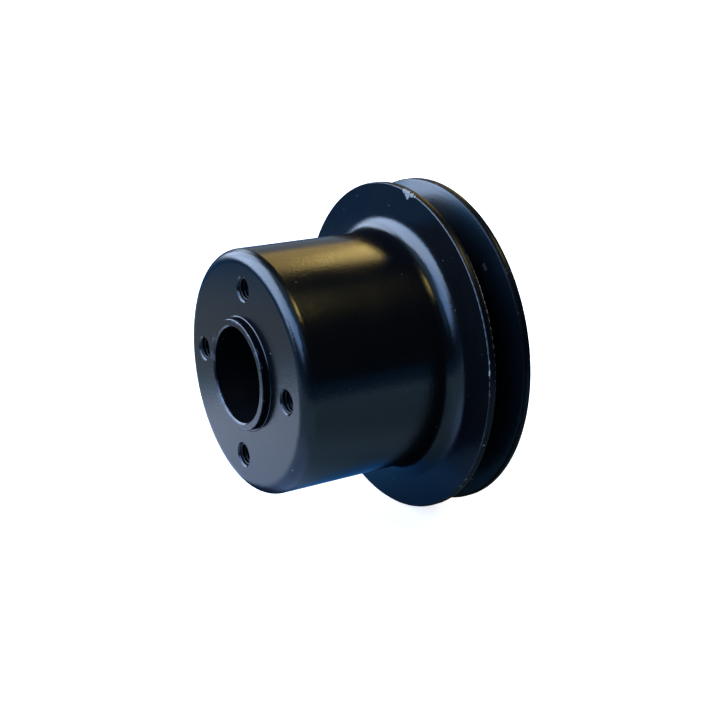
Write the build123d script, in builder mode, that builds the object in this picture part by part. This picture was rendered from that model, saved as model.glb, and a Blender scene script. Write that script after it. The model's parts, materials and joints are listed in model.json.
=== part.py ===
from build123d import *
import os
from math import radians, tan

os.makedirs("parts", exist_ok=True)

# V-belt pulley with a deep, hollow hub drum and a single belt groove at its open end.
# Millimetres. The spin axis is Y: the drum's closed face looks towards -Y and the drum opens
# towards +Y. The origin is on the axis, in the plane of the closed face.
# Sections are drawn in the XY plane, with the radius along X, and turned about Y.

# Fan's holes: an M8 bolt circle in the closed face and in the tapped ring behind it
bolt_circle_diameter = 60.0
bolt_count = 4
bolt_radius = 4.0
bolt_edge = 3.5  # metal between each hole and the drum's wall
countersink_radius = 4.5
drill_overrun = 1.0  # the drill comes out past the back of what it cuts

# Hub drum: wide enough for the bolt circle
drum_wall = 5.0
face_thickness = 5.0
nose_radius = 4.5  # round between the closed face and the drum
inner_corner_radius = 3.0  # the same corner inside the drum
flare_radius = 6.0  # sweep from the drum into the front flange
mouth_chamfer = 1.0  # inner edge of the drum's open end

# Flanges and belt groove
flange_height = 17.0  # flange rims stand this far out from the drum
flange_front = 59.5  # closed face to the front flange's face
rim_width = 2.6  # flat land on each flange's rim
edge_break = 0.4  # rounded edges of both rims
mouth_round = 1.0  # softer edge where the rear flange leads the belt into the groove
groove_width = 12.2  # between the two rims
groove_depth = 12.0
groove_half_angle = 18.0
register_wall = 6.5  # drum's tail, which the rear flange is pressed on
tail_setback = 2.0  # the tail stops short of the rear flange's back face

# Bore sleeve, pressed through the closed face
bore_radius = 16.65
sleeve_wall = 3.35
sleeve_length = 36.0  # behind the closed face
shoulder_height = 0.3  # sleeve's full diameter stands proud of the closed face
pilot_height = 2.8  # pilot's end, in front of the closed face
pilot_step = 0.75  # pilot is turned down from the sleeve's outside
sleeve_chamfer = 0.5  # both mouths of the bore and the sleeve's back end
pilot_chamfer = 0.2  # outer edges of the pilot and of the shoulder

# Tapped ring behind the closed face
ring_thickness = 7.0
ring_corner_clearance = 0.2  # the ring's chamfer is this much larger than the drum's inner corner

# Weld beads
ring_weld_leg = 3.0
ring_weld_count = 6
ring_weld_arc = 32.0  # degrees of each bead
sleeve_weld_leg = 3.0
flange_weld_leg = 3.0
flange_weld_count = 8
flange_weld_arc = 27.0
bead_crown = 0.25  # a bead's face bulges by this share of its smaller leg

# Places that several pieces share
drum_inner_radius = bolt_circle_diameter / 2 + bolt_radius + bolt_edge
drum_radius = drum_inner_radius + drum_wall
register_radius = drum_inner_radius + register_wall
flange_radius = drum_radius + flange_height
groove_floor_radius = flange_radius - groove_depth
wall_run = groove_depth * tan(radians(groove_half_angle))
groove_front = flange_front + rim_width
groove_back = groove_front + groove_width
front_wall_foot = groove_front + wall_run  # here the rear flange butts against the drum
rear_wall_foot = groove_back - wall_run
rear_face = groove_back + rim_width
tail_end = rear_face - tail_setback
sleeve_radius = bore_radius + sleeve_wall
pilot_radius = sleeve_radius - pilot_step
ring_back = face_thickness + ring_thickness


def corners(section, *points):
    """The section's corners that stand at the given points."""
    return [section.vertices().sort_by_distance(point)[0] for point in points]


def bead_outline(root, leg_x, leg_y):
    """Draws a fillet weld's section: two legs from the root corner and a crowned face."""
    toe_x = root + Vector(leg_x, 0)
    toe_y = root + Vector(0, leg_y)
    out = (toe_x - root).normalized() + (toe_y - root).normalized()
    crown = (toe_x + toe_y) / 2 + out.normalized() * bead_crown * min(abs(leg_x), abs(leg_y))
    Polyline(toe_x, root, toe_y)
    ThreePointArc(toe_y, crown, toe_x)


def stitch_planes(count):
    """Radial section planes, evenly spaced about the spin axis."""
    return [Plane.XY.rotated((0, place * 360 / count, 0)) for place in range(count)]


# Hub drum: closed face, wall, flared front flange with the groove's front wall, and the tail
nose = (drum_radius, 0)
flare = (drum_radius, flange_front)
front_rim = [(flange_radius, flange_front), (flange_radius, groove_front)]
with BuildPart() as hub_drum:
    with BuildSketch(Plane.XY) as drum_section:
        with BuildLine():
            Polyline(
                (sleeve_radius, 0),
                nose,
                flare,
                *front_rim,
                (groove_floor_radius, front_wall_foot),
                (register_radius, front_wall_foot),
                (register_radius, tail_end),
                (drum_inner_radius, tail_end),
                (drum_inner_radius, face_thickness),
                (sleeve_radius, face_thickness),
                close=True,
            )
        make_face()
        fillet(corners(drum_section, nose), radius=nose_radius)
        fillet(corners(drum_section, flare), radius=flare_radius)
        fillet(corners(drum_section, *front_rim), radius=edge_break)
        fillet(corners(drum_section, (drum_inner_radius, face_thickness)), radius=inner_corner_radius)
        chamfer(corners(drum_section, (drum_inner_radius, tail_end)), length=mouth_chamfer)
    revolve(axis=Axis.Y)
    with Locations(Plane.XZ):
        with PolarLocations(bolt_circle_diameter / 2, bolt_count):
            CounterSinkHole(
                radius=bolt_radius,
                counter_sink_radius=countersink_radius,
                depth=face_thickness + drill_overrun,
            )
hub_drum.part.label = "hub_drum"
export_step(hub_drum.part, "parts/hub_drum.step")

# Rear flange: pressed on the drum's tail up to its shoulder, with the groove's floor and rear wall
rear_rim = [(flange_radius, groove_back), (flange_radius, rear_face)]
with BuildPart() as rear_flange:
    with BuildSketch(Plane.XY) as flange_section:
        with BuildLine():
            Polyline(
                (register_radius, front_wall_foot),
                (groove_floor_radius, front_wall_foot),
                (groove_floor_radius, rear_wall_foot),
                *rear_rim,
                (register_radius, rear_face),
                close=True,
            )
        make_face()
        fillet(corners(flange_section, rear_rim[0]), radius=mouth_round)
        fillet(corners(flange_section, rear_rim[1]), radius=edge_break)
    revolve(axis=Axis.Y)
rear_flange.part.label = "rear_flange"
export_step(rear_flange.part, "parts/rear_flange.step")

# Bore sleeve: shaft bore inside, a shoulder just proud of the closed face, and the fan's pilot
bore_mouth = (bore_radius, -pilot_height)
pilot_rim = (pilot_radius, -pilot_height)
shoulder_rim = (sleeve_radius, -shoulder_height)
sleeve_end = [(sleeve_radius, sleeve_length), (bore_radius, sleeve_length)]
with BuildPart() as bore_sleeve:
    with BuildSketch(Plane.XY) as sleeve_section:
        with BuildLine():
            Polyline(
                bore_mouth,
                pilot_rim,
                (pilot_radius, -shoulder_height),
                shoulder_rim,
                *sleeve_end,
                close=True,
            )
        make_face()
        chamfer(corners(sleeve_section, bore_mouth, *sleeve_end), length=sleeve_chamfer)
        chamfer(corners(sleeve_section, pilot_rim, shoulder_rim), length=pilot_chamfer)
    revolve(axis=Axis.Y)
bore_sleeve.part.label = "bore_sleeve"
export_step(bore_sleeve.part, "parts/bore_sleeve.step")

# Tapped ring: fits round the sleeve and inside the drum, hard against the back of the face
with BuildPart() as tapped_ring:
    with BuildSketch(Plane.XY) as ring_section:
        with BuildLine():
            Polyline(
                (sleeve_radius, face_thickness),
                (drum_inner_radius, face_thickness),
                (drum_inner_radius, ring_back),
                (sleeve_radius, ring_back),
                close=True,
            )
        make_face()
        chamfer(
            corners(ring_section, (drum_inner_radius, face_thickness)),
            length=inner_corner_radius + ring_corner_clearance,
        )
    revolve(axis=Axis.Y)
    with Locations(Plane.XZ.offset(-face_thickness)):
        with PolarLocations(bolt_circle_diameter / 2, bolt_count):
            Hole(radius=bolt_radius, depth=ring_thickness + drill_overrun)
tapped_ring.part.label = "tapped_ring"
export_step(tapped_ring.part, "parts/tapped_ring.step")

# Sleeve weld: one bead all round, between the sleeve and the tapped ring
with BuildPart() as sleeve_weld:
    with BuildSketch(Plane.XY):
        with BuildLine():
            bead_outline(Vector(sleeve_radius, ring_back), sleeve_weld_leg, sleeve_weld_leg)
        make_face()
    revolve(axis=Axis.Y)
sleeve_weld.part.label = "sleeve_weld"
export_step(sleeve_weld.part, "parts/sleeve_weld.step")

# Ring welds: stitches between the tapped ring and the drum's wall
with BuildPart() as ring_welds:
    for plane in stitch_planes(ring_weld_count):
        with BuildSketch(plane):
            with BuildLine():
                bead_outline(Vector(drum_inner_radius, ring_back), -ring_weld_leg, ring_weld_leg)
            make_face()
        revolve(axis=Axis.Y, revolution_arc=ring_weld_arc)
ring_welds.part.label = "ring_welds"
export_step(ring_welds.part, "parts/ring_welds.step")

# Flange welds: stitches between the drum's tail and the rear flange's bore
with BuildPart() as flange_welds:
    for plane in stitch_planes(flange_weld_count):
        with BuildSketch(plane):
            with BuildLine():
                bead_outline(Vector(register_radius, tail_end), -flange_weld_leg, tail_setback)
            make_face()
        revolve(axis=Axis.Y, revolution_arc=flange_weld_arc)
flange_welds.part.label = "flange_welds"
export_step(flange_welds.part, "parts/flange_welds.step")
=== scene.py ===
"""A V-belt pulley's looks: its paint, the threads of its fan holes, its weld beads and a small studio.

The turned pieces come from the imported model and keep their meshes. This file paints them, makes the
threads and the rippled weld beads, and sets up the floor, the lamps and the camera. Everything is in
metres, with the spin axis along Y and the closed face looking towards -Y.
"""

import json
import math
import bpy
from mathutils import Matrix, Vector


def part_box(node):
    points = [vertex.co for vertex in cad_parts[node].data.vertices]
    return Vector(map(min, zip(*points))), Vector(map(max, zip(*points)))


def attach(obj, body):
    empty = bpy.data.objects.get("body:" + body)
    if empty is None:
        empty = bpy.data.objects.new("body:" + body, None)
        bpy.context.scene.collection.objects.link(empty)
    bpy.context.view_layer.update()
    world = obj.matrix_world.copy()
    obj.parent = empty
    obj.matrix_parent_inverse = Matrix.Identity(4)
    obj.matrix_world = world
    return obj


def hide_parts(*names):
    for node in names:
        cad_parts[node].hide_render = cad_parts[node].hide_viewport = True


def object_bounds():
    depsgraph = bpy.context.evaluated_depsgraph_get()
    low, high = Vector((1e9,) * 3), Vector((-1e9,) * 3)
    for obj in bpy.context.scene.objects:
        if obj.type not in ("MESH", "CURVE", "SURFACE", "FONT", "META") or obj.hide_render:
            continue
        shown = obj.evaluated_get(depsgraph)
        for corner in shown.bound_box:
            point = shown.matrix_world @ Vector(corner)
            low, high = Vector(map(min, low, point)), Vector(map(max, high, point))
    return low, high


bl_info = {
    "name": "V-belt Pulley",
    "version": (1, 0, 0),
    "blender": (4, 5, 0),
    "location": "View3D > Sidebar > Pulley",
    "description": "Paints a V-belt pulley and adds its threads, weld beads and studio",
    "category": "Object",
}

import bmesh
import bpy
from mathutils import Matrix, Vector

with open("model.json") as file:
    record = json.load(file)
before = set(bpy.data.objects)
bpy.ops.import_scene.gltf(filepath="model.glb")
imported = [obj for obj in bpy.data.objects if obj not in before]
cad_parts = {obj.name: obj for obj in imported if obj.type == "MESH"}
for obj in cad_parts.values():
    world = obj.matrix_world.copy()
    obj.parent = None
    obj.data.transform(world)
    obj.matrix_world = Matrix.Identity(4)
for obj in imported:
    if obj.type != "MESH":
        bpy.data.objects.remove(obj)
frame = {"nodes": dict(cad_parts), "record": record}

MM = 0.001
CAD_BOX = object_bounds()
RIM_DEPTH = 0.3 * MM  # a flange's points this near to its outside belong to the rim


# ---- what the frame says


def mount(name):
    """The record's mount with this name."""
    return next(m for m in frame["record"]["mounts"] if m["name"] == name)


def section_points(node):
    """Every point of a turned node as (distance from the spin axis, place along it)."""
    return [(math.hypot(v.co.x, v.co.z), v.co.y) for v in frame["nodes"][node].data.vertices]


def rim_span(node):
    """Where a flange's rim starts and ends along the spin axis."""
    points = section_points(node)
    outside = max(radius for radius, place in points)
    places = [place for radius, place in points if radius > outside - RIM_DEPTH]
    return min(places), max(places)


FACE_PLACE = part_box("hub_drum")[0].y
DRUM_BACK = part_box("hub_drum")[1].y
RING_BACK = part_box("tapped_ring")[1].y
FLANGE_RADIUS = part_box("rear_flange")[1].z
FRONT_RIM = rim_span("hub_drum")
REAR_RIM = rim_span("rear_flange")
DRUM_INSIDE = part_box("tapped_ring")[1].z
SLEEVE_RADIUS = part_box("bore_sleeve")[1].z
PILOT_RADIUS = mount("pilot")["dims"]["r_mm"] * MM
PILOT_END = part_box("bore_sleeve")[0].y
BORE_RADIUS = mount("bore")["dims"]["r_mm"] * MM
TAIL_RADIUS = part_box("flange_welds")[1].z
HOLE_CIRCLE = mount("fan_holes")["dims"]["pcd_mm"] * MM / 2
HOLE_COUNT = mount("fan_holes")["dims"]["count"]
HOLE_RADIUS = mount("fan_holes")["dims"]["hole_r_mm"] * MM


# ---- settings


class PulleyThreadSettings(bpy.types.PropertyGroup):
    """Sizes of the threads in the fan holes."""

    pitch: bpy.props.FloatProperty(
        name="Pitch", description="From one thread ridge to the next", default=1.25 * MM, unit="LENGTH"
    )
    ridge_height: bpy.props.FloatProperty(
        name="Ridge Height", description="How far a ridge stands into the hole", default=0.68 * MM,
        unit="LENGTH",
    )
    crest_share: bpy.props.FloatProperty(
        name="Crest Share", description="Flat crest as a share of the pitch", default=0.22, subtype="FACTOR"
    )
    lead_in: bpy.props.FloatProperty(
        name="Lead-in", description="Depth of the countersink before the thread starts",
        default=0.45 * MM, unit="LENGTH",
    )
    seed: bpy.props.IntProperty(name="Seed", description="Where each thread starts", default=4)


class PulleyWeldSettings(bpy.types.PropertyGroup):
    """Sizes of the weld beads."""

    leg: bpy.props.FloatProperty(
        name="Leg", description="Length of a bead's legs", default=3.0 * MM, unit="LENGTH"
    )
    tail_leg: bpy.props.FloatProperty(
        name="Tail Leg", description="Shorter leg of the beads on the drum's tail", default=2.0 * MM,
        unit="LENGTH",
    )
    crown: bpy.props.FloatProperty(
        name="Crown", description="How far a bead's face bulges", default=0.55 * MM, unit="LENGTH"
    )
    ripple_pitch: bpy.props.FloatProperty(
        name="Ripple Pitch", description="From one ripple to the next", default=1.15 * MM, unit="LENGTH"
    )
    ripple_depth: bpy.props.FloatProperty(
        name="Ripple Depth", description="Height of a ripple", default=0.16 * MM, unit="LENGTH"
    )
    ring_count: bpy.props.IntProperty(
        name="Ring Stitches", description="Beads round the tapped ring", default=6
    )
    ring_arc: bpy.props.FloatProperty(
        name="Ring Stitch Arc", description="Length of each bead", default=math.radians(32), subtype="ANGLE"
    )
    tail_count: bpy.props.IntProperty(
        name="Tail Stitches", description="Beads round the drum's tail", default=8
    )
    tail_arc: bpy.props.FloatProperty(
        name="Tail Stitch Arc", description="Length of each bead", default=math.radians(27), subtype="ANGLE"
    )


class PulleyPaintSettings(bpy.types.PropertyGroup):
    """Colours and finish of the paint."""

    drum_color: bpy.props.FloatVectorProperty(
        name="Drum Paint", description="Paint on the drum and flanges", subtype="COLOR", size=3,
        default=(0.0025, 0.0029, 0.0036),
    )
    # Paler than the drum's paint: painted fill light for the paint inside the drum, which lies in shade
    inner_fill_color: bpy.props.FloatVectorProperty(
        name="Inner Paint", description="Duller paint inside the drum", subtype="COLOR", size=3,
        default=(0.040, 0.040, 0.042),
    )
    primer_color: bpy.props.FloatVectorProperty(
        name="Primer", description="Grey primer where paint is chipped off", subtype="COLOR", size=3,
        default=(0.21, 0.19, 0.165),
    )
    dust_color: bpy.props.FloatVectorProperty(
        name="Dust", description="Pale specks on the paint", subtype="COLOR", size=3,
        default=(0.10, 0.10, 0.10),
    )
    gloss: bpy.props.FloatProperty(
        name="Roughness", description="Roughness of the drum's paint", default=0.16, subtype="FACTOR"
    )


class PulleyStudioSettings(bpy.types.PropertyGroup):
    """The lamps."""

    lamp_distance: bpy.props.FloatProperty(
        name="Lamp Distance", description="From the pulley to each lamp", default=1.2, unit="LENGTH"
    )


# ---- building node trees


def add(tree, kind, **settings):
    """Adds a node and sets its properties."""
    node = tree.nodes.new(kind)
    for key, value in settings.items():
        setattr(node, key, value)
    return node


def feed(tree, node, values):
    """Gives a node's inputs: a socket is linked, anything else is set. The keys are names or places."""
    for key, value in values.items():
        target = node.inputs[key]
        if isinstance(value, bpy.types.NodeSocket):
            tree.links.new(value, target)
        elif value is not None:
            target.default_value = value
    return node


def put(tree, kind, inputs, **settings):
    """Adds a node with its inputs given."""
    return feed(tree, add(tree, kind, **settings), inputs)


def calc(tree, operation, *values, clamp=False):
    """A Math node's result."""
    inputs = dict(enumerate(values))
    return put(tree, "ShaderNodeMath", inputs, operation=operation, use_clamp=clamp).outputs[0]


def times(tree, first, second, clamp=False):
    """One number times another."""
    return calc(tree, "MULTIPLY", first, second, clamp=clamp)


def one_minus(tree, value, clamp=False):
    """What is left of 1 after a number."""
    return calc(tree, "SUBTRACT", 1.0, value, clamp=clamp)


def vector_calc(tree, operation, *values):
    """A Vector Math node's result."""
    node = put(tree, "ShaderNodeVectorMath", dict(enumerate(values)), operation=operation)
    return node.outputs["Value" if operation in {"LENGTH", "DISTANCE"} else "Vector"]


def scaled(tree, vector, factor):
    """A vector times a number."""
    result = vector_calc(tree, "SCALE", vector)
    feed(tree, result.node, {"Scale": factor})
    return result


def step(tree, value, low, high, smooth=True):
    """Goes from 0 to 1 as a value goes from low to high."""
    node = add(tree, "ShaderNodeMapRange", interpolation_type="SMOOTHSTEP" if smooth else "LINEAR")
    return feed(tree, node, {"Value": value, "From Min": low, "From Max": high}).outputs["Result"]


def noise(tree, vector, scale, detail, roughness=0.5):
    """A Noise Texture's value."""
    inputs = {"Vector": vector, "Scale": scale, "Detail": detail, "Roughness": roughness}
    return put(tree, "ShaderNodeTexNoise", inputs).outputs["Fac"]


def combine(tree, x, y, z):
    """A vector from three numbers or sockets."""
    return put(tree, "ShaderNodeCombineXYZ", {"X": x, "Y": y, "Z": z}).outputs["Vector"]


def split(tree, vector):
    """A vector's X, Y and Z."""
    return put(tree, "ShaderNodeSeparateXYZ", {0: vector}).outputs


def blend_shaders(tree, mask, below, above):
    """A Mix Shader node's result."""
    inputs = {0: mask, 1: below.outputs[0], 2: above.outputs[0]}
    return put(tree, "ShaderNodeMixShader", inputs)


def blend_colors(tree, mask, below, above):
    """Lays one colour over another."""
    node = put(tree, "ShaderNodeMix", {"Factor": mask}, data_type="RGBA")
    for name, value in (("A", below), ("B", above)):
        target = next(s for s in node.inputs if s.name == name and s.type == "RGBA")
        if isinstance(value, bpy.types.NodeSocket):
            tree.links.new(value, target)
        else:
            target.default_value = (*value, 1.0)
    return next(s for s in node.outputs if s.type == "RGBA")


def new_group(kind, name, inputs, outputs):
    """A node group with named inputs {name: (type, default)} and outputs {name: type}."""
    tree = bpy.data.node_groups.new(name, kind)
    for label, (socket_kind, default) in inputs.items():
        socket = tree.interface.new_socket(label, in_out="INPUT", socket_type="NodeSocket" + socket_kind)
        if default is not None:
            socket.default_value = default
    for label, socket_kind in outputs.items():
        tree.interface.new_socket(label, in_out="OUTPUT", socket_type="NodeSocket" + socket_kind)
    return tree, add(tree, "NodeGroupInput").outputs, add(tree, "NodeGroupOutput").inputs


def spaced(values):
    """The same values, with spaces for the underscores in their keys."""
    return {key.replace("_", " "): value for key, value in values.items()}


def use_group(tree, group, **values):
    """Places a shader node group in a material. Underscores in the keys stand for spaces."""
    return put(tree, "ShaderNodeGroup", spaced(values), node_tree=group).outputs


# ---- shared shader effects

# Fineness of each noise, as cells in a metre
CLOUD_CELLS = 70.0
WEAR_CELLS = 260.0
CHIP_CELLS = 1000.0

GRIT_SHARE = 0.8  # height of the grit beside the orange peel
RING_DRIFT = 0.35  # how much a turned ring changes on its way round
WEAR_EDGE = 0.12  # softness of a worn patch's outline
CHIP_RAGGEDNESS = 0.9


def shader_group(name, inputs, *outputs):
    """A shader node group that takes a position and other inputs, and gives values."""
    inputs = {"Position": ("Vector", None), **inputs}
    return new_group("ShaderNodeTree", name, inputs, dict.fromkeys(outputs, "Float"))


def give(tree, result, **values):
    """Ends a group: links its outputs."""
    for name, value in values.items():
        tree.links.new(value, result[name])
    return tree


def axis_group():
    """Distance from the spin axis, place along it and turn about it, for what a lathe leaves."""
    tree, given, result = shader_group("SpinAxis", {}, "Radius", "Place", "Turn")
    parts = split(tree, given["Position"])
    radius = vector_calc(tree, "LENGTH", combine(tree, parts["X"], 0.0, parts["Z"]))
    turn = calc(tree, "ARCTAN2", parts["X"], parts["Z"])
    return give(tree, result, Radius=radius, Place=parts["Y"], Turn=turn)


def grain_group():
    """The fine texture of sprayed paint: orange peel, fine grit and broad cloudiness."""
    sizes = {"Peel Size": ("Float", 1.1 * MM), "Grit Size": ("Float", 0.45 * MM)}
    tree, given, result = shader_group("PaintGrain", sizes, "Height", "Cloud", "Grit")
    position = given["Position"]
    peel = noise(tree, position, calc(tree, "DIVIDE", 1.0, given["Peel Size"]), detail=1.0)
    grit = noise(tree, position, calc(tree, "DIVIDE", 1.0, given["Grit Size"]), detail=1.0)
    cloud = step(tree, noise(tree, position, CLOUD_CELLS, detail=3.0), 0.3, 0.7)
    height = calc(tree, "MULTIPLY_ADD", grit, GRIT_SHARE, peel)
    return give(tree, result, Height=height, Cloud=cloud, Grit=grit)


def turning_group(axis):
    """Fine rings that a lathe tool leaves, uneven in depth."""
    tree, given, result = shader_group("TurningMarks", {"Pitch": ("Float", 0.3 * MM)}, "Height")
    where = use_group(tree, axis, Position=given["Position"])
    along = calc(tree, "DIVIDE", calc(tree, "ADD", where["Radius"], where["Place"]), given["Pitch"])
    drift = times(tree, where["Turn"], RING_DRIFT)
    rings = noise(tree, combine(tree, along, drift, 0.0), 1.0, detail=2.0, roughness=0.6)
    return give(tree, result, Height=rings)


def edge_wear_group(axis):
    """Where paint is thin or rubbed off along a turned edge."""
    edge = {
        "Edge Radius": ("Float", FLANGE_RADIUS), "Edge Place": ("Float", 0.0),
        "Reach": ("Float", 0.4 * MM), "Amount": ("Float", 0.5),
    }
    tree, given, result = shader_group("EdgeWear", edge, "Mask")
    where = use_group(tree, axis, Position=given["Position"])
    out = calc(tree, "SUBTRACT", where["Radius"], given["Edge Radius"])
    away = calc(tree, "SUBTRACT", where["Place"], given["Edge Place"])
    distance = vector_calc(tree, "LENGTH", combine(tree, out, away, 0.0))
    near = one_minus(tree, calc(tree, "DIVIDE", distance, given["Reach"]), clamp=True)
    patches = noise(tree, given["Position"], WEAR_CELLS, detail=4.0, roughness=0.65)
    level = calc(tree, "SUBTRACT", calc(tree, "ADD", given["Amount"], patches), 1.0)
    mask = times(tree, step(tree, level, 0.0, WEAR_EDGE), step(tree, near, 0.1, 0.6))
    return give(tree, result, Mask=mask)


def chip_group():
    """One spot of knocked-off paint with a ragged outline."""
    spot = {"Centre": ("Vector", None), "Size": ("Float", 1.0 * MM), "Stretch": ("Vector", (1, 1, 1))}
    tree, given, result = shader_group("PaintChip", spot, "Mask")
    offset = vector_calc(tree, "SUBTRACT", given["Position"], given["Centre"])
    offset = vector_calc(tree, "MULTIPLY", offset, given["Stretch"])
    ragged = noise(tree, given["Position"], CHIP_CELLS, detail=3.0, roughness=0.6)
    distance = calc(tree, "DIVIDE", vector_calc(tree, "LENGTH", offset), given["Size"])
    level = calc(tree, "MULTIPLY_ADD", calc(tree, "SUBTRACT", ragged, 0.5), CHIP_RAGGEDNESS, distance)
    return give(tree, result, Mask=one_minus(tree, step(tree, level, 0.85, 1.0)))


def dust_group():
    """Tiny pale specks, scattered unevenly."""
    specks = {"Spacing": ("Float", 3.0 * MM), "Share": ("Float", 0.12), "Size": ("Float", 0.07)}
    tree, given, result = shader_group("Dust", specks, "Mask")
    fineness = calc(tree, "DIVIDE", 1.0, given["Spacing"])
    cells = put(tree, "ShaderNodeTexVoronoi", {"Vector": given["Position"], "Scale": fineness})
    tint = put(tree, "ShaderNodeSeparateColor", {0: cells.outputs["Color"]}).outputs
    chosen = calc(tree, "LESS_THAN", tint[0], given["Share"])
    reach = times(tree, given["Size"], calc(tree, "ADD", tint[1], 0.5))
    inside = one_minus(tree, calc(tree, "DIVIDE", cells.outputs["Distance"], reach), clamp=True)
    return give(tree, result, Mask=times(tree, step(tree, inside, 0.0, 0.5), chosen))


# ---- materials


def end_with(tree, shader):
    """Links a shader to the material's output."""
    output = next(n for n in tree.nodes if n.type == "OUTPUT_MATERIAL")
    tree.links.new(shader.outputs[0], output.inputs["Surface"])


def new_material(name):
    """An empty material with a Principled BSDF, Object coordinates and its output."""
    material = bpy.data.materials.new(name)
    material.use_nodes = True
    tree = material.node_tree
    tree.nodes.clear()
    surface = add(tree, "ShaderNodeBsdfPrincipled")
    add(tree, "ShaderNodeOutputMaterial")
    end_with(tree, surface)
    position = add(tree, "ShaderNodeTexCoord").outputs["Object"]
    return material, tree, surface, position


def dim_crossed_gloss(tree, surface, dull):
    """Takes the shine away where other paint mirrors this paint, and from places that are dull."""
    # This stands in for polarised reflections, which a render doesn't have: one gloss seen in another,
    # at a right angle to it, looks nearly black.
    second = add(tree, "ShaderNodeBsdfPrincipled")
    for source in surface.inputs:
        if source.is_linked:
            tree.links.new(source.links[0].from_socket, second.inputs[source.name])
    second.inputs["Specular IOR Level"].default_value = 0.0
    mirrored = add(tree, "ShaderNodeLightPath").outputs["Is Glossy Ray"]
    share = calc(tree, "MAXIMUM", mirrored, dull)
    end_with(tree, blend_shaders(tree, share, surface, second))


def bump(tree, height, distance, before=None):
    """A Bump node's normal."""
    inputs = {"Height": height, "Distance": distance, "Normal": before}
    return put(tree, "ShaderNodeBump", inputs).outputs[0]


# Knocks and rubs in the paint (millimetres): place, size, stretch along Z and strength
CHIPS = {
    "rim_chip": ((8.2, 59.5, 57.9), 1.6, 1, 1.0),
    "rim_chip_start": ((6.2, 59.5, 58.9), 1.0, 1, 1.0),
    "rim_chip_tail": ((10.7, 59.5, 58.1), 1.0, 1, 1.0),
    "rim_chip_end": ((12.5, 59.5, 57.9), 0.5, 1, 1.0),
    "rim_knock": ((56.8, 60.6, -17.8), 0.55, 1, 1.0),
    "side_rub": ((58.64, 59.57, 9.0), 0.35, 0.3, 1.0),
    "side_rub_upper": ((58.2, 59.7, 12.4), 0.3, 0.35, 0.8),
    "low_speck": ((49.4, 59.9, -33.2), 0.36, 1, 1.0),
    "low_speck_inner": ((46.6, 59.7, -37.0), 0.36, 1, 1.0),
    "rear_speck": ((36.1, 72.8, -41.5), 0.4, 1, 1.0),
    "nose_speck": ((33.18, 0.63, -22.87), 0.28, 1, 1.0),
    "face_speck": ((19.4, 0.0, 13.4), 0.25, 1, 0.7),
    "groove_scuff": ((36.6, 72.2, 38.0), 0.7, 1, 0.22),
    "groove_scuff_end": ((37.6, 72.2, 37.2), 0.7, 1, 0.22),
}

RIM_SLOPE_SHARE = 0.6  # the rims' front part slopes, over this share of their width
GLOSS_IOR = 1.5

# Relief of the drum's paint and rims, and of the paint on the pieces inside (metres)
RELIEF = {"turning": 0.004 * MM, "grain": 0.032 * MM, "rim": 0.3 * MM, "chip": 0.08 * MM}
INNER_RELIEF = {"turning": 0.006 * MM, "grain": 0.012 * MM}

# What each part of the drum's paint adds to its roughness
ROUGHER = {"cloud": 0.04, "grit": 0.05, "groove": 0.09, "edges": 0.08, "bare": 0.35}

# How strongly specks and rubbed edges show, and how much of its shine a rim or its lip loses. The rubbed rim
# edges are pale partly as a painted highlight line.
DRUM_DUST = 0.55
DRUM_WEAR_AND_HIGHLIGHT = 0.5
RIM_DULLNESS = 0.6
LIP_DULLNESS = 0.85

# Where masks start and are full: along the spin axis and from it, then back from the flanges' outside
# or on from an edge of a rim (metres)
HOLLOW_PLACE = (4.5 * MM, 5.0 * MM)
HOLLOW_RADIUS = (39.5 * MM, 40.0 * MM)
RIM_BAND = (-0.35 * MM, -0.1 * MM)
LIP_BAND = (-1.9 * MM, -1.3 * MM)
GROOVE_FRONT = (-0.2 * MM, 0.2 * MM)
GROOVE_BACK = (-0.6 * MM, 0.0)
REAR_LAND = (0.7 * MM, 1.1 * MM)
TOP_ARC = (0.10, 0.45)  # radians to each side of the top

PLAIN_TINT = (1.0, 1.0, 1.0)
# Painted reflection: a blue tint of the gloss on the groove's walls away from the top, standing in for bluer
# reflected light
GROOVE_REFLECTION_TINT = (0.15, 0.65, 1.0)  # of the gloss on the groove's walls
INNER_DUST_COLOR = (0.12, 0.13, 0.15)
# Pale rubbed edges on the pilot, partly a painted glint of bare metal
INNER_WEAR_AND_GLINT_COLOR = (0.20, 0.21, 0.24)

# The same for the pieces inside, with the share of dusty cells and the size of their rubbed edges
INNER_DUST = 0.5
INNER_DUST_SHARE = 0.2
INNER_CLOUD = 0.08
INNER_WEAR_AND_GLINT = 0.28
INNER_EDGE = {"Reach": 1.3 * MM, "Amount": 0.48}
RIM_EDGE = {"Edge_Radius": FLANGE_RADIUS, "Amount": 0.42}

# From one turned ring to the next
DRUM_RING_PITCH = 0.45 * MM
INNER_RING_PITCH = 0.35 * MM


def span_mask(tree, value, base, span):
    """Goes from 0 to 1 over a span that is measured from a base."""
    return step(tree, value, base + span[0], base + span[1])


def chip_mask(tree, group, position):
    """All of the knocks in the paint."""
    chips = 0.0
    for place, size, stretch, strength in CHIPS.values():
        centre = tuple(value * MM for value in place)
        knock = {"Centre": centre, "Size": size * MM, "Stretch": (1, 1, stretch)}
        spot = use_group(tree, group, Position=position, **knock)
        chips = calc(tree, "MAXIMUM", chips, times(tree, spot["Mask"], strength))
    return chips


def rim_wear_and_highlight(tree, group, position):
    """Rubbed paint along both edges of both rims, pale partly as a painted highlight line on the rounded
    edges.
    """
    wear = 0.0
    for place in (*FRONT_RIM, *REAR_RIM):
        rub = use_group(tree, group, Position=position, Edge_Place=place, **RIM_EDGE)
        wear = calc(tree, "MAXIMUM", wear, rub["Mask"])
    return wear


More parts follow.
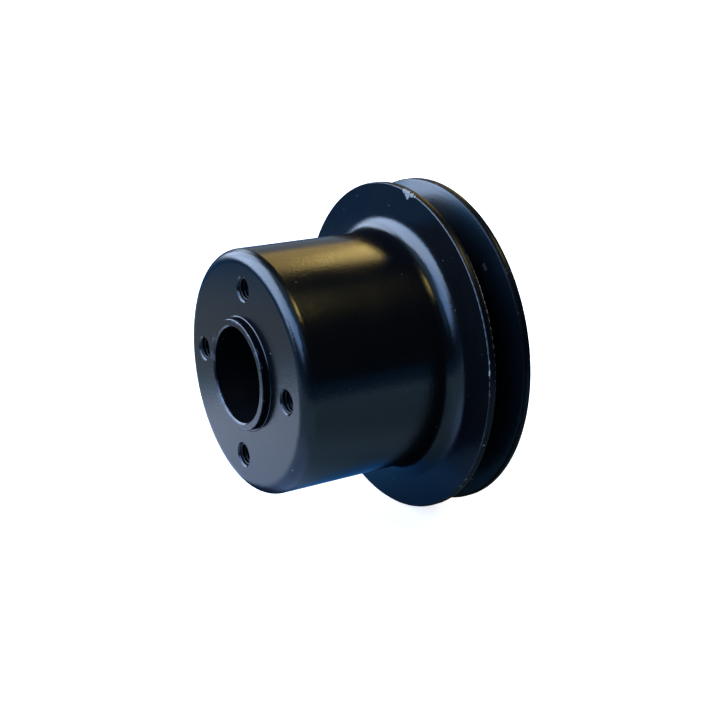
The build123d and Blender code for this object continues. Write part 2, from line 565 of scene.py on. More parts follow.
def drum_paint(name, groups, paint):
    """Satin black over turned steel, with chips on the front flange, rubbed rims that are partly a painted
    highlight, paler paint inside the drum as painted fill light and a painted blue reflection tint in the
    groove.
    """
    material, tree, surface, position = new_material(name)
    grain = use_group(tree, groups["grain"], Position=position)
    turning = use_group(tree, groups["turning"], Position=position, Pitch=DRUM_RING_PITCH)
    dust = use_group(tree, groups["dust"], Position=position)["Mask"]
    chips = chip_mask(tree, groups["chip"], position)
    wear = rim_wear_and_highlight(tree, groups["wear"], position)

    where = use_group(tree, groups["axis"], Position=position)
    past_face = span_mask(tree, where["Place"], 0.0, HOLLOW_PLACE)
    in_wall = span_mask(tree, where["Radius"], 0.0, HOLLOW_RADIUS)
    hollow = calc(tree, "SUBTRACT", past_face, in_wall, clamp=True)
    rims = span_mask(tree, where["Radius"], FLANGE_RADIUS, RIM_BAND)
    groove_end = span_mask(tree, where["Place"], REAR_RIM[0], GROOVE_BACK)
    groove = calc(
        tree, "SUBTRACT", span_mask(tree, where["Place"], FRONT_RIM[1], GROOVE_FRONT), groove_end
    )
    away_from_top = step(tree, calc(tree, "ABSOLUTE", where["Turn"]), *TOP_ARC)
    rear_land = span_mask(tree, where["Place"], REAR_RIM[0], REAR_LAND)
    lip = span_mask(tree, where["Radius"], FLANGE_RADIUS, LIP_BAND)
    lip = times(tree, lip, calc(tree, "SUBTRACT", groove_end, rear_land))
    lip = times(tree, lip, away_from_top)

    # Inside the drum the paler inner colour is painted fill light in its shade
    color = blend_colors(tree, hollow, paint.drum_color, paint.inner_fill_color)
    color = blend_colors(tree, times(tree, dust, DRUM_DUST), color, paint.dust_color)
    # Pale rubbed rim edges, partly a painted highlight line
    color = blend_colors(tree, times(tree, wear, DRUM_WEAR_AND_HIGHLIGHT), color, paint.primer_color)
    color = blend_colors(tree, chips, color, paint.primer_color)
    # Painted reflection: the groove's gloss turns blue away from the top
    tint = blend_colors(tree, times(tree, groove, away_from_top), PLAIN_TINT, GROOVE_REFLECTION_TINT)

    edges = calc(tree, "MAXIMUM", rims, lip)
    bare = calc(tree, "MAXIMUM", chips, calc(tree, "MAXIMUM", dust, wear))
    masks = {"cloud": grain["Cloud"], "grit": grain["Grit"], "groove": groove, "edges": edges, "bare": bare}
    gloss = paint.gloss
    for key, mask in masks.items():
        gloss = calc(tree, "MULTIPLY_ADD", mask, ROUGHER[key], gloss, clamp=key == "bare")

    normal = bump(tree, turning["Height"], RELIEF["turning"])
    normal = bump(tree, grain["Height"], RELIEF["grain"], before=normal)
    for start, end in (FRONT_RIM, REAR_RIM):
        rise = step(tree, where["Place"], start, start + RIM_SLOPE_SHARE * (end - start), smooth=False)
        normal = bump(tree, times(tree, rise, rims), RELIEF["rim"], before=normal)
    normal = bump(tree, one_minus(tree, chips), RELIEF["chip"], before=normal)

    feed(tree, surface, {"Base Color": color, "Roughness": gloss, "Normal": normal, "IOR": GLOSS_IOR})
    feed(tree, surface, {"Specular Tint": tint})
    dull_rims = times(tree, rims, RIM_DULLNESS)
    dull = calc(tree, "MAXIMUM", dull_rims, times(tree, lip, LIP_DULLNESS))
    dim_crossed_gloss(tree, surface, dull)
    return material


def inner_paint(name, groups, color, gloss, peel, shine=0.5, crossed=False, worn_edges=()):
    """Plain black paint for the pieces inside the drum, rubbed along the given edges."""
    material, tree, surface, position = new_material(name)
    grain = use_group(tree, groups["grain"], Position=position, Peel_Size=peel)
    turning = use_group(tree, groups["turning"], Position=position, Pitch=INNER_RING_PITCH)
    dust = use_group(tree, groups["dust"], Position=position, Share=INNER_DUST_SHARE)
    tint = blend_colors(tree, times(tree, dust["Mask"], INNER_DUST), color, INNER_DUST_COLOR)
    rough = calc(tree, "MULTIPLY_ADD", grain["Cloud"], INNER_CLOUD, gloss)
    # Rubbed edges are pale, partly a painted glint of the bare metal
    for radius, place in worn_edges:
        edge = {"Edge_Radius": radius, "Edge_Place": place, **INNER_EDGE}
        rub = use_group(tree, groups["wear"], Position=position, **edge)
        tint = blend_colors(tree, times(tree, rub["Mask"], INNER_WEAR_AND_GLINT), tint, INNER_WEAR_AND_GLINT_COLOR)
    normal = bump(tree, turning["Height"], INNER_RELIEF["turning"])
    normal = bump(tree, grain["Height"], INNER_RELIEF["grain"], before=normal)
    feed(tree, surface, {"Base Color": tint, "Roughness": rough, "Normal": normal, "IOR": GLOSS_IOR})
    feed(tree, surface, {"Specular IOR Level": shine})
    if crossed:
        dim_crossed_gloss(tree, surface, 0.0)
    return material


def shared_groups():
    """The shader node groups that the materials share, built once."""
    axis = axis_group()
    return {
        "axis": axis, "grain": grain_group(), "turning": turning_group(axis),
        "wear": edge_wear_group(axis), "chip": chip_group(), "dust": dust_group(),
    }


def make_materials(paint):
    """All of the pulley's materials, by the piece that they are for."""
    if "DrumPaint" not in bpy.data.materials:
        groups = shared_groups()
        drum_paint("DrumPaint", groups, paint)
        # The pilot's end edges are rubbed and pale, partly a painted glint of bare metal
        pilot = {"crossed": True, "worn_edges": ((PILOT_RADIUS, PILOT_END), (BORE_RADIUS, PILOT_END))}
        inner_paint("SleevePaint", groups, paint.drum_color, paint.gloss, 1.0 * MM, **pilot)
        # The ring and the welds take the paler inner colour too: painted fill light in the drum's shade
        inner_paint("RingPaint", groups, paint.inner_fill_color, 0.34, 0.9 * MM)
        inner_paint("WeldPaint", groups, paint.inner_fill_color, 0.3, 0.6 * MM)
        inner_paint("ThreadPaint", groups, paint.drum_color, 0.32, 0.6 * MM, shine=0.2)
    return bpy.data.materials


# ---- geometry node helpers


def new_object(name, data):
    """A new object in the scene."""
    thing = bpy.data.objects.new(name, data)
    bpy.context.scene.collection.objects.link(thing)
    return thing


def grow(name, group, values):
    """Runs a Geometry Nodes tree, keeps the result as a plain mesh and rides it on the pulley."""
    piece = new_object(name, bpy.data.meshes.new(name))
    modifier = piece.modifiers.new("Tree", "NODES")
    modifier.node_group = group
    for item in group.interface.items_tree:
        if item.item_type == "SOCKET" and item.in_out == "INPUT" and item.name in values:
            modifier[item.identifier] = values[item.name]
    graph = bpy.context.evaluated_depsgraph_get()
    mesh = bpy.data.meshes.new_from_object(piece.evaluated_get(graph), depsgraph=graph)
    piece.modifiers.clear()
    blank, piece.data = piece.data, mesh
    bpy.data.meshes.remove(blank)
    mesh.name = name
    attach(piece, "root")
    return piece


MERGE_DISTANCE = 0.002 * MM
ALONG_Y = (-math.pi / 2, 0.0, 0.0)  # turns a form about Z into one about the pulley's axis


def point_outwards(mesh):
    """Merges doubles and turns every face of a closed mesh outwards."""
    shape = bmesh.new()
    shape.from_mesh(mesh)
    bmesh.ops.remove_doubles(shape, verts=shape.verts, dist=MERGE_DISTANCE)
    bmesh.ops.recalc_face_normals(shape, faces=shape.faces)
    shape.to_mesh(mesh)
    shape.free()


def form(tree, kind, inputs=None, **settings):
    """The first output of a Geometry node."""
    return put(tree, "GeometryNode" + kind, inputs or {}, **settings).outputs[0]


def finish_tree(tree, geometry, material, target):
    """Ends a tree: instances made real, the material set."""
    real = form(tree, "RealizeInstances", {0: geometry})
    tree.links.new(form(tree, "SetMaterial", {"Geometry": real, "Material": material}), target)


def sweep(tree, curve, profile):
    """A closed section swept along a curve, sized by the curve's radius."""
    radius = form(tree, "InputRadius")
    inputs = {"Curve": curve, "Profile Curve": profile, "Scale": radius, "Fill Caps": True}
    return form(tree, "CurveToMesh", inputs)


def level_curve(tree, curve, radius):
    """A curve whose normals stay level with the Z axis, with a radius."""
    upright = form(tree, "SetCurveNormal", {"Curve": curve}, mode="Z_UP")
    return form(tree, "SetCurveRadius", {"Curve": upright, "Radius": radius})


THREAD_SIDES = 40  # pieces in each turn of a thread
THREAD_FADE = 0.5  # turns over which a ridge runs in and out
THREAD_TIP = 0.04  # share of its size that is left at its ends
THREAD_FOOT = 0.47  # half of a ridge's foot, as a share of the pitch
THREAD_INPUTS = {
    "Holes": ("Int", 4), "Circle Radius": ("Float", 30 * MM), "Root Radius": ("Float", 4 * MM),
    "Ridge Height": ("Float", 0.7 * MM), "Pitch": ("Float", 1.25 * MM), "Crest Share": ("Float", 0.2),
    "Start": ("Float", 0.0), "Length": ("Float", 10 * MM), "Seed": ("Int", 0),
    "Material": ("Material", None),
}


def thread_tree():
    """A helical ridge in each hole of a bolt circle about the Y axis."""
    outputs = {"Geometry": "Geometry"}
    tree, given, result = new_group("GeometryNodeTree", "HoleThreads", THREAD_INPUTS, outputs)
    turns = calc(tree, "DIVIDE", given["Length"], given["Pitch"])
    shape = {
        "Resolution": THREAD_SIDES, "Rotations": turns, "Start Radius": given["Root Radius"],
        "End Radius": given["Root Radius"], "Height": given["Length"],
    }
    spiral = form(tree, "CurveSpiral", shape)
    factor = add(tree, "GeometryNodeSplineParameter").outputs["Factor"]
    from_end = calc(tree, "MINIMUM", factor, one_minus(tree, factor))
    fade = step(tree, times(tree, from_end, turns), 0.0, THREAD_FADE)
    tapered = level_curve(tree, spiral, calc(tree, "MAXIMUM", fade, THREAD_TIP))
    foot = times(tree, given["Pitch"], THREAD_FOOT)
    crest = times(tree, given["Pitch"], times(tree, given["Crest Share"], 0.5))
    corners = {
        "Point 1": combine(tree, 0.0, times(tree, foot, -1.0), 0.0),
        "Point 2": combine(tree, given["Ridge Height"], times(tree, crest, -1.0), 0.0),
        "Point 3": combine(tree, given["Ridge Height"], crest, 0.0),
        "Point 4": combine(tree, 0.0, foot, 0.0),
    }
    profile = form(tree, "CurvePrimitiveQuadrilateral", corners, mode="POINTS")
    ridge = sweep(tree, tapered, profile)
    start = combine(tree, 0.0, given["Start"], 0.0)
    moved = {"Geometry": ridge, "Rotation": ALONG_Y, "Translation": start}
    along_y = form(tree, "Transform", moved)
    circle = {"Vertices": given["Holes"], "Radius": given["Circle Radius"]}
    circle = form(tree, "MeshCircle", circle)
    standing = {"Geometry": circle, "Rotation": (math.pi / 2, 0.0, 0.0)}
    standing = form(tree, "Transform", standing)
    phase = add(tree, "FunctionNodeRandomValue", data_type="FLOAT")
    number = {s.name: s for s in phase.inputs if s.enabled}
    number["Min"].default_value = 0.0
    number["Max"].default_value = 2 * math.pi
    tree.links.new(given["Seed"], number["Seed"])
    spin = combine(tree, 0.0, next(s for s in phase.outputs if s.enabled), 0.0)
    copies = {"Points": standing, "Instance": along_y, "Rotation": spin}
    copies = form(tree, "InstanceOnPoints", copies)
    finish_tree(tree, copies, given["Material"], result["Geometry"])
    return tree


BEAD_SAMPLES = 9.0  # points along each ripple
BEAD_SIDES = 13  # points across a bead's face
BEAD_SINK = 0.12 * MM  # how deep its toes lie under the metal
BEAD_END = 0.38  # a bead's size at its ends
BEAD_WANDER = 0.32  # how much its width varies
WANDER_CELLS = 180.0  # fineness of that, as cells in a metre
BEAT_CELLS = 420.0  # fineness of the ripples' unevenness
BEAT_UNEVENNESS = 0.9
RIPPLE_LAG = 0.75  # how far a ripple trails at the toes
RIPPLE_FALL = 0.7  # power of a ripple's falling side
RIPPLE_RISE = 0.16  # share of a ripple that its rising side takes
TOE_FADE = 6.0  # power by which the ripples fade towards the toes
BEAD_INPUTS = {
    "Beads": ("Int", 1), "Arc": ("Float", 1.0), "Start": ("Float", 0.0),
    "Corner Radius": ("Float", 20 * MM), "Corner Place": ("Float", 12 * MM), "Leg Out": ("Float", 3 * MM),
    "Leg Along": ("Float", 3 * MM), "Crown": ("Float", 0.5 * MM), "Ripple Pitch": ("Float", 1.1 * MM),
    "Ripple Depth": ("Float", 0.15 * MM), "Taper": ("Float", 2.5 * MM), "Seed": ("Float", 0.0),
    "Material": ("Material", None),
}


def weld_tree():
    """Rippled weld beads in a round corner about the Y axis."""
    outputs = {"Geometry": "Geometry"}
    tree, given, result = new_group("GeometryNodeTree", "WeldBeads", BEAD_INPUTS, outputs)
    length = times(tree, given["Arc"], given["Corner Radius"])
    ripples = calc(tree, "DIVIDE", length, given["Ripple Pitch"])
    arc = {
        "Resolution": times(tree, ripples, BEAD_SAMPLES), "Radius": given["Corner Radius"],
        "Start Angle": 0.0, "Sweep Angle": given["Arc"],
    }
    path = form(tree, "CurveArc", arc, mode="RADIUS")
    places = {"Count": given["Beads"], "Offset": (0.0, 0.0, 0.0)}
    places = form(tree, "MeshLine", places, mode="OFFSET")
    index = form(tree, "InputIndex")
    spacing = calc(tree, "DIVIDE", 2 * math.pi, given["Beads"])
    turn = combine(tree, 0.0, 0.0, calc(tree, "MULTIPLY_ADD", index, spacing, given["Start"]))
    copies = {"Points": places, "Instance": path, "Rotation": turn}
    copies = form(tree, "InstanceOnPoints", copies)
    paths = form(tree, "RealizeInstances", {0: copies})
    # where a point is along its bead, for the tapered ends and the ripples
    spline = add(tree, "GeometryNodeSplineParameter").outputs
    from_end = calc(tree, "MINIMUM", spline["Length"], calc(tree, "SUBTRACT", length, spline["Length"]))
    place = form(tree, "InputPosition")
    shifted = vector_calc(tree, "ADD", place, combine(tree, 0.0, 0.0, given["Seed"]))
    wander = calc(tree, "SUBTRACT", noise(tree, shifted, WANDER_CELLS, detail=2.0), 0.5)
    full = step(tree, from_end, 0.0, given["Taper"])
    ends = calc(tree, "MULTIPLY_ADD", full, 1.0 - BEAD_END, BEAD_END)
    width = times(tree, ends, calc(tree, "MULTIPLY_ADD", wander, BEAD_WANDER, 1.0))
    marked = add(tree, "GeometryNodeCaptureAttribute")
    marked.capture_items.new("FLOAT", "Along")
    feed(tree, marked, {0: level_curve(tree, paths, width), 1: spline["Length"]})
    # the bead's section: its crowned face from toe to toe, closed by a chord under the metal
    toe_out = combine(tree, given["Leg Out"], 0.0, 0.0)
    toe_along = combine(tree, 0.0, times(tree, given["Leg Along"], -1.0), 0.0)
    middle = scaled(tree, vector_calc(tree, "ADD", toe_out, toe_along), 0.5)
    outward = vector_calc(tree, "NORMALIZE", middle)
    drop = scaled(tree, outward, -BEAD_SINK)
    face = {
        "Resolution": BEAD_SIDES,
        "Start": vector_calc(tree, "ADD", toe_out, drop),
        "Middle": vector_calc(tree, "ADD", middle, scaled(tree, outward, given["Crown"])),
        "End": vector_calc(tree, "ADD", toe_along, drop),
    }
    face = form(tree, "CurveArc", face, mode="POINTS")
    across = add(tree, "GeometryNodeCaptureAttribute")
    across.capture_items.new("FLOAT", "Across")
    feed(tree, across, {0: face, 1: spline["Factor"]})
    closed = form(tree, "SetSplineCyclic", {"Geometry": across.outputs[0], "Cyclic": True})
    bead = sweep(tree, marked.outputs[0], closed)
    # ripples: each one laps over the last, and lags at the toes
    side = calc(tree, "MULTIPLY_ADD", across.outputs[1], 2.0, -1.0)
    lag = times(tree, times(tree, side, side), RIPPLE_LAG)
    beat = calc(tree, "ADD", calc(tree, "DIVIDE", marked.outputs[1], given["Ripple Pitch"]), lag)
    uneven = noise(tree, shifted, BEAT_CELLS, detail=1.0)
    saw = calc(tree, "FRACT", calc(tree, "MULTIPLY_ADD", uneven, BEAT_UNEVENNESS, beat))
    fall = calc(tree, "POWER", one_minus(tree, saw), RIPPLE_FALL)
    ripple = times(tree, fall, step(tree, saw, 0.0, RIPPLE_RISE))
    toes = calc(tree, "POWER", calc(tree, "ABSOLUTE", side), TOE_FADE)
    open_face = one_minus(tree, toes, clamp=True)
    lift = times(tree, times(tree, ripple, open_face), given["Ripple Depth"])
    push = scaled(tree, form(tree, "InputNormal"), lift)
    smooth = form(tree, "SetShadeSmooth", {0: form(tree, "SetPosition", {"Geometry": bead, "Offset": push})})
    corner = combine(tree, 0.0, given["Corner Place"], 0.0)
    moved = {"Geometry": smooth, "Rotation": ALONG_Y, "Translation": corner}
    along_y = form(tree, "Transform", moved)
    finish_tree(tree, along_y, given["Material"], result["Geometry"])
    return tree


def once(name, build):
    """The node group with this name, built the first time that it is asked for."""
    return bpy.data.node_groups.get(name) or build()


# ---- studio


def direction(azimuth, elevation):
    """A unit vector: azimuth 0 looks along +Y and 90 along +X, elevation is above the floor."""
    a, e = math.radians(azimuth), math.radians(elevation)
    return Vector((math.sin(a) * math.cos(e), math.cos(a) * math.cos(e), math.sin(e)))


# Soft panels of light in the room (degrees): azimuth from and to, bottom, top, rise of the bottom to the
# left, colour and radiance
PANELS = {
    "window": (-132, -113, 3.5, 58, 0.0, (0.51, 0.68, 1.0), 9.2),
    "window_middle": (-165, -132, 14, 58, 0.0, (0.51, 0.68, 1.0), 9.2),
    "window_foot": (-165, -132, 3, 14, 0.0, (0.38, 0.60, 1.0), 8.5),
    "window_left": (-190, -165, 17, 55, 0.2, (0.38, 0.59, 1.0), 8.2),
    "window_end": (-221, -190, 18, 51, 0.1, (0.28, 0.50, 1.0), 6.4),
    "window_right": (-113, -89, 4, 46, 0.0, (0.56, 0.72, 1.0), 5.5),
    "window_corner": (-89, -72, 13, 31, 0.0, (0.63, 0.78, 1.0), 2.6),
    "sky": (-225, -98, 57, 90, 0.0, (0.36, 0.66, 1.0), 0.65),
    "sky_left": (-258, -215, 28, 68, 0.0, (0.22, 0.52, 1.0), 0.65),
    "ceiling_glow": (5, 112, 60, 86, 0.0, (1.0, 0.94, 0.42), 0.3),
    "wall": (-80, -50, -5, 24, 0.0, (0.66, 0.80, 1.0), 0.38),
}
PANEL_EDGE = 4.0  # half of the span over which a panel's sides and top fade
PANEL_FOOT = 6.0  # the same for its bottom
ROOM_LIGHT = (0.008, 0.013, 0.017)

# Lamps: azimuth, elevation and lean (degrees), width and height (metres), colour and power (watts)
LAMPS = {
    "warm_ceiling": (58, 66, -25, 0.28, 0.33, (1.0, 0.80, 0.27), 2.1),
    "warm_side": (-42, 42, 26, 0.20, 0.45, (1.0, 0.76, 0.26), 1.25),
    "warm_wall": (-53, 38, 20, 0.26, 0.56, (1.0, 0.70, 0.23), 0.8),
    "behind_lamp": (0, 22, 0, 0.34, 0.34, (1.0, 0.97, 0.93), 6.0),
}
CAMERA_PLACE = Vector((363.654, -187.75, 153.007)) * MM
CAMERA_TURN = (57.137, 19.834, 1.448)  # azimuth, elevation and roll (degrees)
CAMERA_LENS = 63.934  # for a sensor this wide (both in millimetres)
CAMERA_SENSOR = 36.0


def make_camera():
    """The camera, a little above the drum and to its right."""
    a, e, roll = (math.radians(v) for v in CAMERA_TURN)
    back = Vector((math.sin(a) * math.cos(e), -math.cos(a) * math.cos(e), math.sin(e)))
    right = Vector((0.0, 0.0, 1.0)).cross(back).normalized()
    up = back.cross(right)
    side = right * math.cos(roll) + up * math.sin(roll)
    top = up * math.cos(roll) - right * math.sin(roll)
    data = bpy.data.cameras.new("Camera")
    data.sensor_width = CAMERA_SENSOR
    data.lens = CAMERA_LENS
    data.clip_start = 0.02
    data.clip_end = 50.0
    camera = new_object("Camera", data)
    camera.matrix_world = Matrix.Translation(CAMERA_PLACE) @ Matrix((side, top, back)).transposed().to_4x4()
    bpy.context.scene.camera = camera


def make_lamp(name, settings, distance, centre):
    """One softbox that faces the pulley."""
    azimuth, elevation, lean, width, height, color, power = settings
    data = bpy.data.lights.new(name, "AREA")
    data.shape = "RECTANGLE"
    data.size = width
    data.size_y = height
    data.color = color
    data.energy = power
    place = centre + direction(azimuth, elevation) * distance
    turn = (centre - place).to_track_quat("-Z", "Y").to_matrix().to_4x4()
    roll = Matrix.Rotation(math.radians(lean), 4, "Z")
    new_object(name, data).matrix_world = Matrix.Translation(place) @ turn @ roll


# Painted light and shade on the floor, as the paint reflects it (millimetres): middle, radius and colour.
# The pale front and near patches are painted pools of light, left and right painted shading to each side,
# under a painted contact shadow below the nose and behind painted shade under the drum
FLOOR_LIGHT_AND_SHADE = {
    "left": ((-215, -95), 80, (0.22, 0.21, 0.18)),
    "right": ((140, 100), 80, (0.18, 0.25, 0.27)),
    "near": ((22, -30), 48, (0.48, 0.56, 0.72)),
    "front": ((-66, -48), 58, (0.90, 0.87, 0.88)),
    "under": ((-10, 9), 21, (0.02, 0.03, 0.05)),
    "behind": ((-6, 50), 26, (0.09, 0.33, 0.62)),
}
# Painted shade in the reflected floor: its colour between the patches, and darker far from the pulley, bluer
# to the left
FLOOR_AROUND = (0.26, 0.35, 0.37)
FLOOR_FAR = (0.02, 0.07, 0.12)
FLOOR_FAR_LEFT = (0.01, 0.07, 0.15)
PATCH_EDGE = (0.7, 1.3)  # a patch fades over these shares of its radius
FAR_FROM = (0.27, 0.37)  # metres from the middle where the far floor starts and is full
RIGHT_FROM = (-0.2, 0.0)  # along X, where its left part gives way to its right part
FLOOR_GLOW = 0.8
FLOOR_PALE = (0.8, 0.8, 0.8, 1.0)
FLOOR_RADIUS = 6.0
FLOOR_SIDES = 96
WHITE = (1.0, 1.0, 1.0, 1.0)


def floor_material():
    """A plain pale floor: white to the camera outside the shadow; to the paint's reflections it carries
    painted light and shade.
    """
    material, tree, surface, position = new_material("FloorPaper")
    tree.nodes.remove(surface)
    parts = split(tree, position)
    flat = combine(tree, parts["X"], parts["Y"], 0.0)
    color = FLOOR_AROUND
    for (x, y), radius, patch_color in FLOOR_LIGHT_AND_SHADE.values():
        reach = vector_calc(tree, "DISTANCE", flat, (x * MM, y * MM, 0.0))
        start, end = (radius * share * MM for share in PATCH_EDGE)
        inside = one_minus(tree, step(tree, reach, start, end))
        color = blend_colors(tree, inside, color, patch_color)
    beyond = step(tree, vector_calc(tree, "LENGTH", flat), *FAR_FROM)
    right = step(tree, parts["X"], *RIGHT_FROM)
    color = blend_colors(tree, beyond, color, blend_colors(tree, right, FLOOR_FAR_LEFT, FLOOR_FAR))
    # The colour that reflections see: lit by the lamps, with the painted light and shade in it
    table = put(tree, "ShaderNodeBsdfDiffuse", {"Color": color})
    glow = put(tree, "ShaderNodeEmission", {"Color": WHITE, "Strength": FLOOR_GLOW})
    paper = put(tree, "ShaderNodeBsdfDiffuse", {"Color": FLOOR_PALE})
    both = put(tree, "ShaderNodeAddShader", {0: glow.outputs[0], 1: paper.outputs[0]})
    seen = add(tree, "ShaderNodeLightPath").outputs["Is Camera Ray"]
    end_with(tree, blend_shaders(tree, seen, table, both))
    return material


def make_floor(height):
    """A large round floor under the pulley."""
    mesh = bpy.data.meshes.new("Floor")
    shape = bmesh.new()
    place = Matrix.Translation((0, 0, height))
    bmesh.ops.create_circle(shape, cap_ends=True, segments=FLOOR_SIDES, radius=FLOOR_RADIUS, matrix=place)
    shape.to_mesh(mesh)
    shape.free()
    mesh.materials.append(floor_material())
    floor = new_object("Floor", mesh)


def soft_panel(tree, azimuth, elevation, panel):
    """The light of one panel with soft edges, for a direction in degrees."""
    start, end, bottom, top, rise, color, radiance = panel
    middle, half = (start + end) / 2, (end - start) / 2
    across = calc(tree, "WRAP", calc(tree, "SUBTRACT", azimuth, middle), 180.0, -180.0)
    beside = step(tree, calc(tree, "ABSOLUTE", across), half - PANEL_EDGE, half + PANEL_EDGE)
    above_foot = calc(tree, "SUBTRACT", calc(tree, "MULTIPLY_ADD", across, rise, elevation), bottom)
    over = step(tree, above_foot, -PANEL_FOOT, PANEL_FOOT)
    past_top = step(tree, elevation, top - PANEL_EDGE, top + PANEL_EDGE)
    between = calc(tree, "SUBTRACT", over, past_top)
    inside = times(tree, one_minus(tree, beside), between, clamp=True)
    return scaled(tree, tuple(channel * radiance for channel in color), inside)


def make_world():
    """A dim room with soft panels of light, which the camera sees as white."""
    world = bpy.data.worlds.new("Studio")
    world.use_nodes = True
    tree = world.node_tree
    tree.nodes.clear()
    toward = add(tree, "ShaderNodeTexCoord").outputs["Generated"]
    parts = split(tree, toward)
    azimuth = calc(tree, "DEGREES", calc(tree, "ARCTAN2", parts["X"], parts["Y"]))
    elevation = calc(tree, "DEGREES", calc(tree, "ARCSINE", parts["Z"]))
    light = ROOM_LIGHT
    for panel in PANELS.values():
        light = vector_calc(tree, "ADD", light, soft_panel(tree, azimuth, elevation, panel))
    room = put(tree, "ShaderNodeBackground", {"Color": light})
    white = put(tree, "ShaderNodeBackground", {"Color": WHITE})
    rays = add(tree, "ShaderNodeLightPath").outputs
    seen = calc(tree, "MAXIMUM", rays["Is Camera Ray"], rays["Is Transmission Ray"])
    mixed = blend_shaders(tree, seen, room, white)
    tree.links.new(mixed.outputs[0], add(tree, "ShaderNodeOutputWorld").inputs["Surface"])
    bpy.context.scene.world = world


# ---- operators


class PULLEY_OT_studio(bpy.types.Operator):
    """Set up the camera, the floor, the lamps and the dim room."""

    bl_idname = "pulley.studio"
    bl_label = "Studio"

    def execute(self, context):
        studio = context.scene.pulley_studio
        make_camera()
        centre = (CAD_BOX[0] + CAD_BOX[1]) / 2
        for name, settings in LAMPS.items():
            make_lamp(name, settings, studio.lamp_distance, centre)
        make_floor(CAD_BOX[0].z)
        make_world()
        context.scene.view_settings.view_transform = "Standard"
        return {"FINISHED"}


class PULLEY_OT_paint_drum(bpy.types.Operator):
    """Paint the hub drum and the rear flange satin black."""

    bl_idname = "pulley.paint_drum"
    bl_label = "Paint Drum and Flanges"

    def execute(self, context):
        materials = make_materials(context.scene.pulley_paint)
        for node in ("hub_drum", "rear_flange"):
            repaint(frame["nodes"][node], materials["DrumPaint"])
        return {"FINISHED"}


class PULLEY_OT_paint_inside(bpy.types.Operator):
    """Paint the bore sleeve and the tapped ring."""

    bl_idname = "pulley.paint_inside"
    bl_label = "Paint Sleeve and Ring"

    def execute(self, context):
        materials = make_materials(context.scene.pulley_paint)
        repaint(frame["nodes"]["bore_sleeve"], materials["SleevePaint"])
        repaint(frame["nodes"]["tapped_ring"], materials["RingPaint"])
        return {"FINISHED"}


class PULLEY_OT_fan_threads(bpy.types.Operator):
    """Add the threads of the fan holes."""

    bl_idname = "pulley.fan_threads"
    bl_label = "Fan Hole Threads"

    def execute(self, context):
        thread = context.scene.pulley_thread
        material = make_materials(context.scene.pulley_paint)["ThreadPaint"]
        start = FACE_PLACE + thread.lead_in
        values = {
            "Holes": HOLE_COUNT, "Circle Radius": HOLE_CIRCLE, "Root Radius": HOLE_RADIUS,
            "Ridge Height": thread.ridge_height, "Pitch": thread.pitch, "Crest Share": thread.crest_share,
            "Start": start, "Length": RING_BACK - start, "Seed": thread.seed, "Material": material,
        }
        piece = grow("fan_threads", once("HoleThreads", thread_tree), values)
        point_outwards(piece.data)
        return {"FINISHED"}


SLEEVE_BEAD = {"Arc": 2 * math.pi + 0.12, "Start": 0.4}  # its end laps over its start (radians)
RING_SEED = 1.7
TAIL_SEED = 3.1
TAIL_CROWN = 0.3 * MM


def lay_beads(context, name, **own):
    """Lays a set of beads with the shared settings and its own. Underscores stand for spaces."""
    weld = context.scene.pulley_weld
    values = {
        "Leg Out": weld.leg, "Leg Along": weld.leg, "Crown": weld.crown,
        "Ripple Pitch": weld.ripple_pitch, "Ripple Depth": weld.ripple_depth,
        "Material": make_materials(context.scene.pulley_paint)["WeldPaint"],
        **spaced(own),
    }
    return grow(name, once("WeldBeads", weld_tree), values)


class PULLEY_OT_sleeve_weld(bpy.types.Operator):
    """Lay the bead that goes all round the sleeve."""

    bl_idname = "pulley.sleeve_weld"
    bl_label = "Sleeve Weld"

    def execute(self, context):
        corner = {"Corner_Radius": SLEEVE_RADIUS, "Corner_Place": RING_BACK}
        piece = lay_beads(context, "sleeve_weld_bead", **SLEEVE_BEAD, **corner)
        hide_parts("sleeve_weld")
        return {"FINISHED"}


class PULLEY_OT_ring_welds(bpy.types.Operator):
    """Lay the stitches between the tapped ring and the drum."""

    bl_idname = "pulley.ring_welds"
    bl_label = "Ring Welds"

    def execute(self, context):
        weld = context.scene.pulley_weld
        row = {"Beads": weld.ring_count, "Arc": weld.ring_arc, "Leg_Out": -weld.leg, "Seed": RING_SEED}
        corner = {"Corner_Radius": DRUM_INSIDE, "Corner_Place": RING_BACK}
        piece = lay_beads(context, "ring_weld_beads", **row, **corner)
        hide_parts("ring_welds")
        return {"FINISHED"}


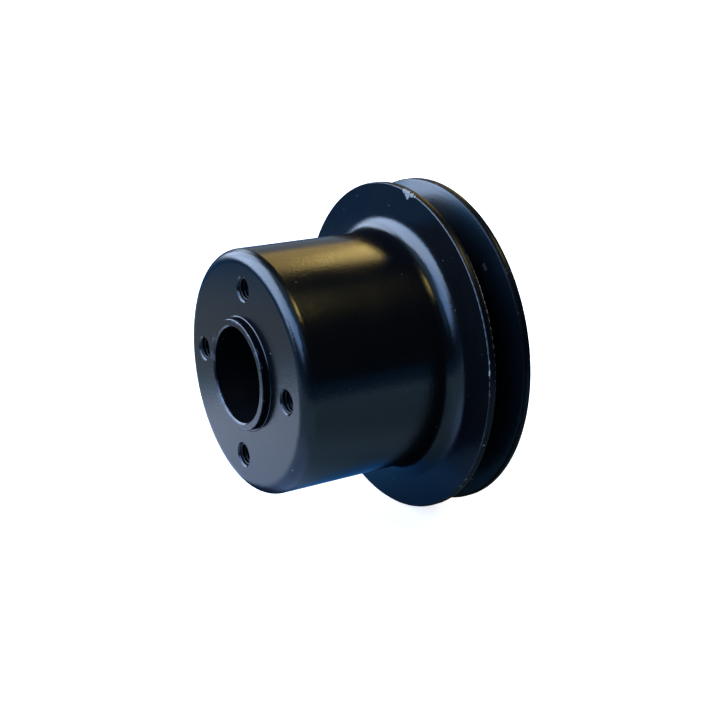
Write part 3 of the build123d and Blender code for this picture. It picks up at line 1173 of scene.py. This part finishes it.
class PULLEY_OT_flange_welds(bpy.types.Operator):
    """Lay the stitches between the drum's tail and the rear flange."""

    bl_idname = "pulley.flange_welds"
    bl_label = "Flange Welds"

    def execute(self, context):
        weld = context.scene.pulley_weld
        row = {"Beads": weld.tail_count, "Arc": weld.tail_arc, "Leg_Out": -weld.leg, "Seed": TAIL_SEED}
        corner = {"Corner_Radius": TAIL_RADIUS, "Corner_Place": DRUM_BACK}
        own = {"Leg_Along": weld.tail_leg, "Crown": TAIL_CROWN}
        piece = lay_beads(context, "flange_weld_beads", **row, **corner, **own)
        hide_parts("flange_welds")
        return {"FINISHED"}


def repaint(piece, material):
    """Gives a piece one material."""
    piece.data.materials.clear()
    piece.data.materials.append(material)


class PULLEY_PT_panel(bpy.types.Panel):
    """The pulley's settings and steps, in the 3D view's sidebar."""

    bl_idname = "PULLEY_PT_panel"
    bl_label = "V-belt Pulley"
    bl_space_type = "VIEW_3D"
    bl_region_type = "UI"
    bl_category = "Pulley"

    def draw(self, context):
        layout = self.layout
        for group in SETTINGS:
            settings = getattr(context.scene, group)
            box = layout.box()
            box.label(text=group.replace("_", " ").title())
            for key in settings.__annotations__:
                box.prop(settings, key)
        for operator in OPERATORS:
            layout.operator(operator.bl_idname)


SETTINGS = {
    "pulley_paint": PulleyPaintSettings,
    "pulley_thread": PulleyThreadSettings,
    "pulley_weld": PulleyWeldSettings,
    "pulley_studio": PulleyStudioSettings,
}
OPERATORS = (
    PULLEY_OT_studio, PULLEY_OT_paint_drum, PULLEY_OT_paint_inside, PULLEY_OT_fan_threads,
    PULLEY_OT_sleeve_weld, PULLEY_OT_ring_welds, PULLEY_OT_flange_welds,
)
CLASSES = (*SETTINGS.values(), *OPERATORS, PULLEY_PT_panel)


def register():
    """Adds the settings, the operators and the panel to Blender."""
    for item in CLASSES:
        bpy.utils.register_class(item)
    for name, settings in SETTINGS.items():
        setattr(bpy.types.Scene, name, bpy.props.PointerProperty(type=settings))


def unregister():
    """Takes them out again."""
    for name in SETTINGS:
        delattr(bpy.types.Scene, name)
    for item in reversed(CLASSES):
        bpy.utils.unregister_class(item)


def main():
    """Builds everything in order."""
    register()
    for operator in OPERATORS:
        getattr(bpy.ops.pulley, operator.bl_idname.split(".")[1])()


if __name__ == "__main__":
    main()
